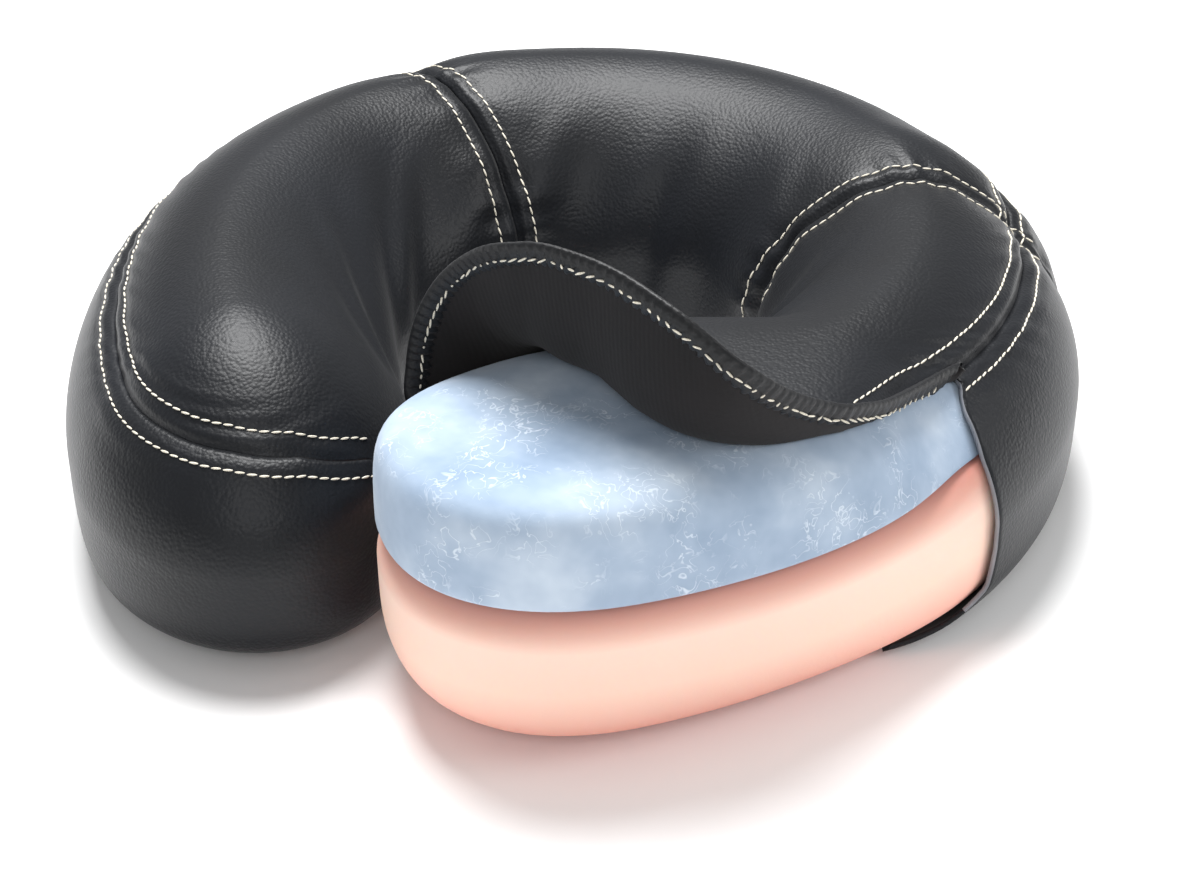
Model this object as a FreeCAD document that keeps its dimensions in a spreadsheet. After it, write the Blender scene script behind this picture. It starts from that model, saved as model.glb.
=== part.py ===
import FreeCAD, Part
import Sketcher
import math
import os

# A horseshoe face cushion for a massage table, lying flat on Z = 0.
# Origin: centre of the crown's arc on the resting plane. +Y crown, -Y the chin gap.
# The right arm's cover is opened: its top panel is peeled back over the two foams.

DIMS = {
    "overall_width": 300.0,      # across the crown
    "arm_half": 48.0,            # half the width of an arm
    "cover_height": 84.0,
    "arm_radius": 190.0,         # bend of the arms' centre line
    "arm_start": 20.0,           # degrees below X where an arm leaves the crown's arc
    "tip_gap": 6.0,              # chin gap between the arm tips
    "top_flat": 4.0,             # flat half-width that the upper rounding leaves
    "bottom_round": 10.0,
    "leather": 1.6,              # cover panels
    "bottom_cloth": 2.0,
    "seam_drop": 18.0,           # seam between top and side panels, below the top
    "foam_play": 1.2,            # between cover and foam, where seam backings lie
    "foam_lift": 0.3,            # base foam over the bottom cloth
    "base_foam_height": 50.0,
    "bond_gap": 0.3,             # between the two foams
    "base_foam_round": 16.0,
    "strip_inset": 31.0,         # loop strips on the underside, in from the cover's side
    "strip_thickness": 1.0,
    "strip_slot": 6.0,           # between neighbouring strips
    "seam_origin": 19.0,         # where both cross seams' planes meet, on Y
    "seam_angle": 22.3,          # degrees above X
    "peel_angle": -6.6,          # degrees, where the opened stretch begins
    "bottom_cut_angle": -16.0,   # degrees, where the bottom cloth ends
    "row_offset": 7.5,           # stitch rows from a cross seam
    "upper_row_drop": 11.5,      # rows beside the outer seam, below the top
    "lower_row_drop": 26.0,
    "thread": 0.8,
    "thread_rise": 0.6,
    "thread_seat": 0.05,
    "backing_half": 11.0,        # half the width of a backing tape
    "backing_thickness": 0.6,
    "backing_gap": 0.1,
    "flap_line_x": 62.0,         # middle of the line that the flap bends about
    "flap_line_y": -84.0,
    "flap_skew": -8.2,           # degrees, that line against X
    "flap_gap": 0.4,             # flap to sewn panel
    "flap_width": 78.0,
    "flap_length": 42.0,         # beyond its bend
    "flap_bend": 10.0,           # radius
    "flap_rise": 65.0,           # degrees
    "flap_corner": 30.0,
    "hem_width": 3.5,
}

TOP_OF_ZONES = 160.0
REACH = 330.0

doc = FreeCAD.newDocument("FaceCushion")
sheet = doc.addObject("Spreadsheet::Sheet", "Dims")
for row, (alias, number) in enumerate(DIMS.items(), start=1):
    sheet.set("A%d" % row, alias)
    sheet.set("B%d" % row, str(number))
    sheet.setAlias("B%d" % row, alias)
doc.recompute()


def amount(text):
    """The number that a sum such as 'cover_height - leather' stands for."""
    total, sign = 0.0, 1
    for word in text.split():
        if word in ("+", "-"):
            sign = 1 if word == "+" else -1
        else:
            total += sign * (DIMS[word] if word in DIMS else float(word))
    return total


def formula(text):
    """The same sum as an expression on the sheet."""
    return " ".join("Dims." + word if word in DIMS else word for word in text.split())


CROWN_RADIUS = DIMS["overall_width"] / 2 - DIMS["arm_half"]
ARM_START = math.radians(DIMS["arm_start"])
ARM_CENTRE = ((CROWN_RADIUS - DIMS["arm_radius"]) * math.cos(ARM_START),
              (DIMS["arm_radius"] - CROWN_RADIUS) * math.sin(ARM_START))
TIP_X = DIMS["arm_half"] + DIMS["tip_gap"] / 2
TIP_ANGLE = math.acos((TIP_X - ARM_CENTRE[0]) / DIMS["arm_radius"])
TIP_Y = ARM_CENTRE[1] - DIMS["arm_radius"] * math.sin(TIP_ANGLE)

CROWN = "Dims.overall_width / 2 - Dims.arm_half"
ARM_BACK = "(Dims.arm_radius - (%s)) * cos(Dims.arm_start)" % CROWN
TIP_SIDE = "Dims.arm_half + Dims.tip_gap / 2"


def arc(centre, radius, start, end):
    circle = Part.Circle(FreeCAD.Vector(centre[0], centre[1], 0), FreeCAD.Vector(0, 0, 1), radius)
    return Part.ArcOfCircle(circle, start, end)


def named(sketch, name, constraint, text):
    """A dimension of the sketch with its expression."""
    sketch.renameConstraint(sketch.addConstraint(constraint), name)
    sketch.setExpression("Constraints." + name, text)


def body_with_sketch(label, bottom):
    body = doc.addObject("PartDesign::Body", label)
    plane = [f for f in body.Origin.OriginFeatures if f.Role == "XY_Plane"][0]
    sketch = body.newObject("Sketcher::SketchObject", label + "_outline")
    sketch.AttachmentSupport = [(plane, "")]
    sketch.MapMode = "FlatFace"
    sketch.AttachmentOffset.Base = FreeCAD.Vector(0, 0, amount(bottom))
    sketch.setExpression("AttachmentOffset.Base.z", formula(bottom))
    return body, sketch


def pad(body, sketch, height):
    feature = body.newObject("PartDesign::Pad", body.Name + "_pad")
    feature.Profile = sketch
    feature.Length = amount(height)
    feature.setExpression("Length", formula(height))
    body.Tip = feature
    doc.recompute()
    return feature


def round_edges(body, feature, level, radius):
    """Rounds the rim that lies at one height."""
    edges = ["Edge%d" % number for number, edge in enumerate(feature.Shape.Edges, start=1)
             if abs(edge.BoundBox.ZMin - level) < 1e-3 and abs(edge.BoundBox.ZMax - level) < 1e-3]
    fillet = body.newObject("PartDesign::Fillet", "%s_round_%d" % (body.Name, round(level)))
    fillet.Base = (feature, edges)
    fillet.Radius = amount(radius)
    fillet.setExpression("Radius", formula(radius))
    body.Tip = fillet
    doc.recompute()
    return fillet


def horseshoe_outline(sketch, half_text):
    """The closed outline at half_text to either side of the centre line."""
    half = DIMS["arm_half"] + amount(half_text)
    half_formula = "Dims.arm_half + (" + formula(half_text) + ")"
    left_centre = (-ARM_CENTRE[0], ARM_CENTRE[1])
    arm = DIMS["arm_radius"]
    sketch.addGeometry([
        arc((0, 0), CROWN_RADIUS + half, -ARM_START, math.pi + ARM_START),
        arc(ARM_CENTRE, arm + half, -TIP_ANGLE, -ARM_START),
        arc((TIP_X, TIP_Y), half, math.pi - TIP_ANGLE, 2 * math.pi - TIP_ANGLE),
        arc(ARM_CENTRE, arm - half, -TIP_ANGLE, -ARM_START),
        arc((0, 0), CROWN_RADIUS - half, -ARM_START, math.pi + ARM_START),
        arc(left_centre, arm - half, math.pi + ARM_START, math.pi + TIP_ANGLE),
        arc((-TIP_X, TIP_Y), half, math.pi + TIP_ANGLE, 2 * math.pi + TIP_ANGLE),
        arc(left_centre, arm + half, math.pi + ARM_START, math.pi + TIP_ANGLE),
    ], False)
    start, end, centre = 1, 2, 3
    for first, first_end, second, second_end in (
            (0, start, 1, end), (1, start, 2, end), (2, start, 3, start), (3, end, 4, start),
            (4, end, 5, start), (5, end, 6, end), (6, start, 7, end), (7, start, 0, end)):
        sketch.addConstraint(Sketcher.Constraint("Tangent", first, first_end, second, second_end))
    for crown in (0, 4):
        sketch.addConstraint(Sketcher.Constraint("Coincident", crown, centre, -1, 1))
    named(sketch, "crown_outer", Sketcher.Constraint("Radius", 0, CROWN_RADIUS + half),
          "%s + %s" % (CROWN, half_formula))
    named(sketch, "crown_inner", Sketcher.Constraint("Radius", 4, CROWN_RADIUS - half),
          "%s - (%s)" % (CROWN, half_formula))
    for side, outer, tip, inner in (("right", 1, 2, 3), ("left", 7, 6, 5)):
        sketch.addConstraint(Sketcher.Constraint("Coincident", outer, centre, inner, centre))
        named(sketch, side + "_arm", Sketcher.Constraint("Radius", outer, arm + half),
              "Dims.arm_radius + " + half_formula)
        ends = (outer, centre, -1, 1) if side == "right" else (-1, 1, outer, centre)
        named(sketch, side + "_arm_back", Sketcher.Constraint("DistanceX", *ends, -ARM_CENTRE[0]), ARM_BACK)
        ends = (-1, 1, tip, centre) if side == "right" else (tip, centre, -1, 1)
        named(sketch, side + "_tip", Sketcher.Constraint("DistanceX", *ends, TIP_X), TIP_SIDE)


def horseshoe(label, half, bottom, height, top_round=None, bottom_round=None):
    """A horseshoe slab; every size is a sum of named dimensions."""
    body, sketch = body_with_sketch(label, bottom)
    horseshoe_outline(sketch, half)
    feature = pad(body, sketch, height)
    if top_round:
        feature = round_edges(body, feature, amount(bottom) + amount(height), top_round)
    if bottom_round:
        round_edges(body, feature, amount(bottom), bottom_round)
    return body


def boolean(kind, label, base, tool):
    """kind is Cut or Common."""
    result = doc.addObject("Part::" + kind, label)
    result.Base = base
    result.Tool = tool
    doc.recompute()
    return result


def cut(label, base, tool):
    return boolean("Cut", label, base, tool)


def common(label, base, tool):
    return boolean("Common", label, base, tool)


def block(label, length, width, height, bottom, angle=None, origin=(0, 0), shift=(0, 0)):
    """A box turned by angle about a point on Z; shift moves it in its own turned frame."""
    box = doc.addObject("Part::Box", label)
    for name, text in (("Length", length), ("Width", width), ("Height", height)):
        setattr(box, name, amount(text))
        box.setExpression(name, formula(text))
    turn = FreeCAD.Rotation(FreeCAD.Vector(0, 0, 1), DIMS[angle] if angle else 0)
    corner = turn.multVec(FreeCAD.Vector(shift[0], shift[1], 0))
    base = FreeCAD.Vector(origin[0], origin[1], amount(bottom)) + corner
    box.Placement = FreeCAD.Placement(base, turn)
    box.setExpression("Placement.Base.z", formula(bottom))
    return box


# --- Zones that divide the cover ---------------------------------------------------------

BELOW = "0 - 20"
ZONE_HEIGHT = str(TOP_OF_ZONES)
WIDE = str(REACH)
seam_point = (0, DIMS["seam_origin"])

right_half = block("right_half", WIDE, "660", ZONE_HEIGHT, BELOW, shift=(0, -REACH))
below_seam = block("below_seam", "660", WIDE, ZONE_HEIGHT, BELOW, "seam_angle", seam_point, (-REACH, -REACH))
right_zone = common("right_zone", right_half, below_seam)
left_zone = doc.addObject("Part::Mirroring", "left_zone")
left_zone.Source = right_zone
left_zone.Normal = FreeCAD.Vector(1, 0, 0)
arms_zone = doc.addObject("Part::MultiFuse", "arms_zone")
arms_zone.Shapes = [left_zone, right_zone]

beyond_peel = block("beyond_peel", "660", WIDE, ZONE_HEIGHT, BELOW, "peel_angle", shift=(-REACH, -REACH))
peeled_zone = common("peeled_zone", right_half, beyond_peel)
beyond_bottom = block("beyond_bottom", "660", WIDE, ZONE_HEIGHT, BELOW, "bottom_cut_angle", shift=(-REACH, -REACH))
bottom_cut_zone = common("bottom_cut_zone", right_half, beyond_bottom)

flap_line = (DIMS["flap_line_x"], DIMS["flap_line_y"])
beyond_flap = block("beyond_flap", "660", WIDE, ZONE_HEIGHT, BELOW, "flap_skew", flap_line, (-REACH, -REACH))
flap_zone = common("flap_zone", right_half, beyond_flap)

below_outer_seam = block("below_outer_seam", "660", "660", "cover_height - seam_drop - bottom_cloth", "bottom_cloth",
                         shift=(-REACH, -REACH))
above_cloth = block("above_cloth", "660", "660", ZONE_HEIGHT, "bottom_cloth", shift=(-REACH, -REACH))
sheet_layer = block("sheet_layer", "660", "660", "bottom_cloth", "0", shift=(-REACH, -REACH))

hole_side, hole_sketch = body_with_sketch("hole_side", BELOW)
hole_sketch.addGeometry([
    arc((0, 0), CROWN_RADIUS, -ARM_START, math.pi + ARM_START),
    arc(ARM_CENTRE, DIMS["arm_radius"], -TIP_ANGLE, -ARM_START),
    arc((-ARM_CENTRE[0], ARM_CENTRE[1]), DIMS["arm_radius"], math.pi + ARM_START, math.pi + TIP_ANGLE),
    Part.LineSegment(FreeCAD.Vector(TIP_X, TIP_Y, 0), FreeCAD.Vector(-TIP_X, TIP_Y, 0)),
], False)
for pair in ((0, 1, 1, 2), (0, 2, 2, 1)):
    hole_sketch.addConstraint(Sketcher.Constraint("Tangent", *pair))
for pair in ((1, 1, 3, 1), (2, 2, 3, 2), (0, 3, -1, 1)):
    hole_sketch.addConstraint(Sketcher.Constraint("Coincident", *pair))
named(hole_sketch, "crown", Sketcher.Constraint("Radius", 0, CROWN_RADIUS), CROWN)
for side, geometry, ends, tip_ends in (("right", 1, (1, 3, -1, 1), (-1, 1, 3, 1)),
                                       ("left", 2, (-1, 1, 2, 3), (3, 2, -1, 1))):
    named(hole_sketch, side + "_arm", Sketcher.Constraint("Radius", geometry, DIMS["arm_radius"]), "Dims.arm_radius")
    named(hole_sketch, side + "_back", Sketcher.Constraint("DistanceX", *ends, -ARM_CENTRE[0]), ARM_BACK)
    named(hole_sketch, side + "_tip", Sketcher.Constraint("DistanceX", *tip_ends, TIP_X), TIP_SIDE)
pad(hole_side, hole_sketch, ZONE_HEIGHT)

# --- Foams ---------------------------------------------------------------------------------

parts = []


def keep(piece, label):
    piece.Label = label
    parts.append(piece)
    return piece


foam_floor = "bottom_cloth + foam_lift"
foam_split = foam_floor + " + base_foam_height"
foam_form = horseshoe("foam_form", "0 - leather - foam_play", foam_floor,
                      "cover_height - leather - foam_play - bottom_cloth - foam_lift",
                      "arm_half - top_flat - leather - foam_play", "base_foam_round")
lower_half = block("lower_half", "660", "660", foam_split, "0", shift=(-REACH, -REACH))
upper_half = block("upper_half", "660", "660", ZONE_HEIGHT, foam_split + " + bond_gap", shift=(-REACH, -REACH))
keep(common("lower_foam", foam_form, lower_half), "base_foam")
keep(common("upper_foam", foam_form, upper_half), "memory_foam")

# --- Cover panels --------------------------------------------------------------------------

cover_form = horseshoe("cover_form", "0", "0", "cover_height", "arm_half - top_flat", "bottom_round")
cover_cavity = horseshoe("cover_cavity", "0 - leather", "bottom_cloth",
                         "cover_height - leather - bottom_cloth", "arm_half - top_flat - leather",
                         "bottom_round - leather")
shell = cut("shell", cover_form, cover_cavity)
walls = common("walls", shell, above_cloth)
side_band = cut("side_band", common("low_walls", walls, below_outer_seam), hole_side)
top_shell = cut("top_shell", walls, side_band)


def three_ways(band, name, right_end):
    """Left, crown and right pieces of a band, the right one ending where right_end begins."""
    left = common(name + "_left", band, left_zone)
    crown = cut(name + "_crown", band, arms_zone)
    right = cut(name + "_right", common(name + "_right_arm", band, right_zone), right_end)
    return left, crown, right


for piece in three_ways(top_shell, "top_panel", flap_zone) + three_ways(side_band, "side_panel", peeled_zone):
    keep(piece, piece.Name)

# --- Underside: a cloth with three inlaid loop strips ------------------------------------------

strip_band = horseshoe("strip_band", "0 - strip_inset", "0", "strip_thickness")
cloth = cut("cloth", cut("whole_cloth", common("lowest", shell, sheet_layer), strip_band), bottom_cut_zone)
keep(cloth, "bottom_cloth_panel")

right_slot = block("right_slot", WIDE, "strip_slot", ZONE_HEIGHT, BELOW, "seam_angle", seam_point)
left_slot = doc.addObject("Part::Mirroring", "left_slot")
left_slot.Source = right_slot
left_slot.Normal = FreeCAD.Vector(1, 0, 0)
slots = doc.addObject("Part::MultiFuse", "slots")
slots.Shapes = [left_slot, right_slot]
strips = cut("strips", strip_band, slots)
keep(common("strip_left", strips, left_zone), "loop_strip_left")
keep(cut("strip_crown", strips, arms_zone), "loop_strip_crown")
keep(cut("strip_right", common("strip_right_arm", strips, right_zone), bottom_cut_zone), "loop_strip_right")

# --- Stitch rows: thin ribbons of thread on the outside of the cover ---------------------------

thread_form = horseshoe("thread_form", "thread_rise", "0", "cover_height + thread_rise",
                        "arm_half - top_flat + thread_rise")
thread_core = horseshoe("thread_core", "thread_seat", "0 - thread_rise", "cover_height + thread_rise + thread_seat",
                        "arm_half - top_flat + thread_seat")
thread_skin = cut("thread_skin", thread_form, thread_core)
outer_skin = cut("outer_skin", thread_skin, hole_side)

for name, level, right_end in (("upper", "cover_height - upper_row_drop", flap_zone),
                               ("lower", "cover_height - lower_row_drop", peeled_zone)):
    layer = block(name + "_layer", "660", "660", "thread", level, shift=(-REACH, -REACH))
    for piece in three_ways(common(name + "_thread", outer_skin, layer), name + "_row", right_end):
        keep(piece, "stitch_" + piece.Name)

above_upper_row = block("above_upper_row", "660", "660", ZONE_HEIGHT,
                        "cover_height - upper_row_drop + thread + thread", shift=(-REACH, -REACH))
hole_walls = common("hole_walls", thread_skin, hole_side)
cross_skin = doc.addObject("Part::MultiFuse", "cross_skin")
cross_skin.Shapes = [common("high_skin", thread_skin, above_upper_row), hole_walls]
for side, shift in (("arm", -DIMS["row_offset"]), ("crown", DIMS["row_offset"])):
    ribbon = block("right_%s_ribbon" % side, WIDE, "thread", ZONE_HEIGHT, "bottom_round", "seam_angle",
                   seam_point, (0, shift - DIMS["thread"] / 2))
    right_row = common("cross_row_right_" + side, cross_skin, ribbon)
    left_row = doc.addObject("Part::Mirroring", "cross_row_left_" + side)
    left_row.Source = right_row
    left_row.Normal = FreeCAD.Vector(1, 0, 0)
    doc.recompute()
    keep(right_row, "stitch_" + right_row.Name)
    keep(left_row, "stitch_" + left_row.Name)

# --- Backing tapes behind the seams, between cover and foam ------------------------------------

backing_form = horseshoe("backing_form", "0 - leather - backing_gap", "bottom_cloth",
                         "cover_height - leather - backing_gap - bottom_cloth",
                         "arm_half - top_flat - leather - backing_gap")
backing_core = horseshoe("backing_core", "0 - leather - backing_gap - backing_thickness", "0",
                         "cover_height - leather - backing_gap - backing_thickness",
                         "arm_half - top_flat - leather - backing_gap - backing_thickness")
backing_skin = cut("backing_skin", backing_form, backing_core)
backing_low = block("backing_low", "660", "660", "backing_half + backing_half",
                    "cover_height - seam_drop - backing_half", shift=(-REACH, -REACH))
seam_tape = cut("seam_tape", common("seam_tape_ring", backing_skin, backing_low), hole_side)
cross_band = block("cross_band", WIDE, "backing_half + backing_half", ZONE_HEIGHT, "bottom_round", "seam_angle",
                   seam_point, (0, -DIMS["backing_half"]))
left_band = doc.addObject("Part::Mirroring", "left_band")
left_band.Source = cross_band
left_band.Normal = FreeCAD.Vector(1, 0, 0)
both_bands = doc.addObject("Part::MultiFuse", "both_bands")
both_bands.Shapes = [left_band, cross_band]
cross_tape = cut("cross_tape", common("cross_tapes", backing_skin, both_bands), seam_tape)
above_tape = block("above_tape", "660", "660", ZONE_HEIGHT, "cover_height - seam_drop", shift=(-REACH, -REACH))
tape_zone = doc.addObject("Part::MultiFuse", "tape_zone")
tape_zone.Shapes = [above_tape, hole_side]
cross_tape = common("cross_tape_upper", cross_tape, tape_zone)
keep(common("cross_tape_left", cross_tape, left_band), "seam_backing_left")
keep(common("cross_tape_right", cross_tape, cross_band), "seam_backing_right")
keep(cut("outer_tape", seam_tape, peeled_zone), "seam_backing_outer")

# --- The flap: the right top panel's end, bent up from the foam --------------------------------

FLAP_TURN = math.radians(DIMS["flap_rise"])


def flap_plate(label, widen, under, over):
    """The flap's sheet, with its outline let out by widen and its faces moved to under and over.

    Its section, drawn outwards and up from the bend line, is an arc and a straight; both faces
    are counted up from the cover's inner face.
    """
    body = doc.addObject("PartDesign::Body", label)
    plane = [f for f in body.Origin.OriginFeatures if f.Role == "XZ_Plane"][0]
    sketch = body.newObject("Sketcher::SketchObject", label + "_section")
    sketch.AttachmentSupport = [(plane, "")]
    sketch.MapMode = "FlatFace"
    centre = FreeCAD.Vector(DIMS["flap_gap"], DIMS["flap_bend"] + DIMS["leather"], 0)
    along = FreeCAD.Vector(math.cos(FLAP_TURN), math.sin(FLAP_TURN), 0)
    inward = FreeCAD.Vector(-math.sin(FLAP_TURN), math.cos(FLAP_TURN), 0)
    length = DIMS["flap_length"] + amount(widen)
    for face in (under, over):
        radius = DIMS["flap_bend"] + DIMS["leather"] - amount(face)
        bend_end = centre - inward * radius
        sketch.addGeometry([arc((centre.x, centre.y), radius, -math.pi / 2, FLAP_TURN - math.pi / 2),
                            Part.LineSegment(bend_end, bend_end + along * length)], False)
    sketch.addGeometry([Part.LineSegment(sketch.Geometry[0].StartPoint, sketch.Geometry[2].StartPoint),
                        Part.LineSegment(sketch.Geometry[1].EndPoint, sketch.Geometry[3].EndPoint)], False)
    for pair in ((0, 2, 1, 1), (2, 2, 3, 1)):
        sketch.addConstraint(Sketcher.Constraint("Tangent", *pair))
    for pair in ((4, 1, 0, 1), (4, 2, 2, 1), (5, 1, 1, 2), (5, 2, 3, 2), (0, 3, 2, 3)):
        sketch.addConstraint(Sketcher.Constraint("Coincident", *pair))
    sketch.addConstraint(Sketcher.Constraint("Vertical", 4))
    sketch.addConstraint(Sketcher.Constraint("Perpendicular", 5, 1))
    sheet_bend = "Dims.flap_bend + Dims.leather"
    for name, constraint, text in (
            ("bend_x", Sketcher.Constraint("DistanceX", -1, 1, 0, 3, centre.x), "Dims.flap_gap"),
            ("bend_y", Sketcher.Constraint("DistanceY", -1, 1, 0, 3, centre.y), sheet_bend),
            ("start_x", Sketcher.Constraint("DistanceX", -1, 1, 0, 1, centre.x), "Dims.flap_gap"),
            ("under_radius", Sketcher.Constraint("Radius", 0, DIMS["flap_bend"] + DIMS["leather"] - amount(under)),
             "%s - (%s)" % (sheet_bend, formula(under))),
            ("over_radius", Sketcher.Constraint("Radius", 2, DIMS["flap_bend"] + DIMS["leather"] - amount(over)),
             "%s - (%s)" % (sheet_bend, formula(over))),
            ("length", Sketcher.Constraint("Distance", 1, length), "Dims.flap_length + " + formula(widen))):
        named(sketch, name, constraint, text)
    feature = body.newObject("PartDesign::Pad", label + "_pad")
    feature.Profile = sketch
    feature.Midplane = True
    feature.Length = DIMS["flap_width"] + 2 * amount(widen)
    feature.setExpression("Length", "Dims.flap_width + 2 * (%s)" % formula(widen))
    body.Tip = feature
    doc.recompute()
    thickness = amount(over) - amount(under)
    ends = ["Edge%d" % number for number, edge in enumerate(feature.Shape.Edges, start=1)
            if abs(edge.Length - thickness) < 1e-3 and edge.BoundBox.ZMin > DIMS["flap_length"] / 2]
    corner = body.newObject("PartDesign::Fillet", label + "_corners")
    corner.Base = (feature, ends)
    corner.Radius = DIMS["flap_corner"] + amount(widen)
    corner.setExpression("Radius", "Dims.flap_corner + " + formula(widen))
    body.Tip = corner
    turn = FreeCAD.Rotation(FreeCAD.Vector(0, 0, 1), DIMS["flap_skew"] - 90)
    level = DIMS["cover_height"] - DIMS["leather"]
    body.Placement = FreeCAD.Placement(FreeCAD.Vector(flap_line[0], flap_line[1], level), turn)
    body.setExpression("Placement.Base.z", "Dims.cover_height - Dims.leather")
    doc.recompute()
    return body


keep(flap_plate("flap_sheet", "0", "0", "leather"), "flap_panel")
hem_outside = flap_plate("hem_outside", "hem_width", "0 - thread_rise", "leather + thread_rise")
hem_inside = flap_plate("hem_inside", "0", "0 - leather", "leather + leather")
keep(cut("hem_band", hem_outside, hem_inside), "flap_hem")
row_outside = flap_plate("row_outside", "thread + thread", "0 - thread_rise - thread_rise",
                         "0 - thread_rise - thread_seat")
row_inside = flap_plate("row_inside", "thread", "0 - leather", "leather")
keep(cut("flap_row", row_outside, row_inside), "stitch_flap_row")

# --- Checks and export ---------------------------------------------------------------------------

doc.recompute()
for thing in doc.Objects:
    for flag in ("Invalid", "Error"):
        if flag in thing.State:
            raise RuntimeError("%s is %s" % (thing.Name, thing.State))
os.makedirs("parts", exist_ok=True)
for piece in parts:
    if piece.Shape.isNull() or not piece.Shape.isValid() or not piece.Shape.Solids:
        raise RuntimeError(piece.Label + " has no sound shape")
    piece.Shape.exportStep("parts/%s.step" % piece.Label)
    print("%-28s solids %d  volume %.0f" % (piece.Label, len(piece.Shape.Solids), piece.Shape.Volume))
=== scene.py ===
import math

import bmesh
import bpy
import numpy as np
from mathutils import Matrix, Vector
from mathutils.bvhtree import BVHTree


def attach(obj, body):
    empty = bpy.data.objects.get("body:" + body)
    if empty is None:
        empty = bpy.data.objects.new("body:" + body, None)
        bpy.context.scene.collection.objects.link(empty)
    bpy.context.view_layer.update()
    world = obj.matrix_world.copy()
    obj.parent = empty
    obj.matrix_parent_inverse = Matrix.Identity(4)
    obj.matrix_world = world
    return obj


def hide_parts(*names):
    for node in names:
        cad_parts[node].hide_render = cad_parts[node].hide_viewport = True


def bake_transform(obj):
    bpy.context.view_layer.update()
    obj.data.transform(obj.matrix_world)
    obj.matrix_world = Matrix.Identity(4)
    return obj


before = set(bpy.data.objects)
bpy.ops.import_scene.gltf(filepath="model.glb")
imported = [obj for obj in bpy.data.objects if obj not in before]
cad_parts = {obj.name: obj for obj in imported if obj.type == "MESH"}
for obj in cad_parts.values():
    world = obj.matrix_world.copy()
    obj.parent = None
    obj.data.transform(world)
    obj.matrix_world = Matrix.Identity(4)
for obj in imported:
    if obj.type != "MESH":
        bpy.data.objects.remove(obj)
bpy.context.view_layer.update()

# --- The cushion's shape, in millimetres ------------------------------------------------------
# A boxy-bottomed, round-topped section runs along a centre line: the crown's wide arc, then a
# gentler arc down each arm. Shares of the half line run from 0 at the crown to 1 where a tip
# starts, positive on the arm with the opened cover.

CROWN_BEND, CROWN_TURN = 101.5, math.radians(112.74)
ARM_BEND, ARM_TURN = 164.1, math.radians(23.38)
LENGTHEN = 1.03            # the horseshoe is a little longer than its arcs are round
CROWN_RUN = CROWN_BEND * CROWN_TURN
HALF_LINE = CROWN_RUN + ARM_BEND * ARM_TURN
HALF_WIDTH, TOP, WAIST = 48.5, 83.3, 33.6
TIP_REACH = 1.27           # how far a tip reaches, in half widths
ROUND, BOXY = 1.7, 5.0     # superellipse powers above and below the waist
SQUARED_TIP = 3.6          # added to ROUND where the foam is bare

OUTER_SEAM = 0.52          # girth share of the seam between top and side panels
HEM_OF_COVER = 1.50        # girth share where the cover turns under
PEELED_SEAM = 0.425        # the same seam where the cover is peeled
CROSS_OUT, CROSS_IN = 0.395, 0.321      # where the cross seams meet the outside and the hole
ROW_STEP = 5.4             # from a seam to its topstitching
GIRTH = 74.0               # from the ridge down to the waist, over the surface
GROOVE, PUCKER = 1.7, 0.45              # width and depth of the groove along a stitch row
SEAM_PULL, SEAM_CREASE = 2.3, 1.7       # depth and width of the crease at a cross seam
RIM_PULL, RIM_CREASE = 2.1, 1.8         # the same at the outer seam


def ease(x):
    """A smooth step from 0 to 1 as x goes from 0 to 1."""
    x = np.clip(x, 0, 1)
    return x * x * (3 - 2 * x)


def dip(distance, width):
    """A bell of height 1 at no distance."""
    return np.exp(-(distance / width) ** 2)


def unit(v):
    return v / np.maximum(np.linalg.norm(v, axis=-1, keepdims=True), 1e-9)


def centre_line(share):
    """Centre, outward direction and tipward direction in plan, for an array of shares."""
    share = np.asarray(share, float)
    side = np.where(share < 0, -1.0, 1.0)
    run = np.abs(share) * HALF_LINE
    past = np.maximum(run - HALF_LINE, 0)
    run = np.minimum(run, HALF_LINE)
    on_arm = run > CROWN_RUN
    turn = np.where(on_arm, CROWN_TURN + (run - CROWN_RUN) / ARM_BEND, run / CROWN_BEND)
    bend = np.where(on_arm, ARM_BEND, CROWN_BEND)
    shift = CROWN_BEND - bend
    x = shift * math.sin(CROWN_TURN) + bend * np.sin(turn)
    y = (shift * math.cos(CROWN_TURN) + bend * np.cos(turn)) * LENGTHEN
    on = unit(np.stack([np.cos(turn), -np.sin(turn) * LENGTHEN], -1))
    out = np.stack([-on[..., 1], on[..., 0]], -1)
    centre = np.stack([x, y], -1) + on * past[..., None]
    mirror = np.stack([side, np.ones_like(side)], -1)
    return centre * mirror, out * mirror, on * mirror


def lower_profile():
    """The section below the waist: share of its length, half width and height."""
    angle = np.linspace(math.pi / 2, math.pi, 400)
    u = HALF_WIDTH * np.sin(angle) ** (2 / BOXY)
    z = WAIST - WAIST * np.abs(np.cos(angle)) ** (2 / BOXY)
    u[-1] = 0
    run = np.r_[0, np.cumsum(np.hypot(np.diff(u), np.diff(z)))]
    return run / run[-1], u, z


LOWER = lower_profile()


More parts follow.
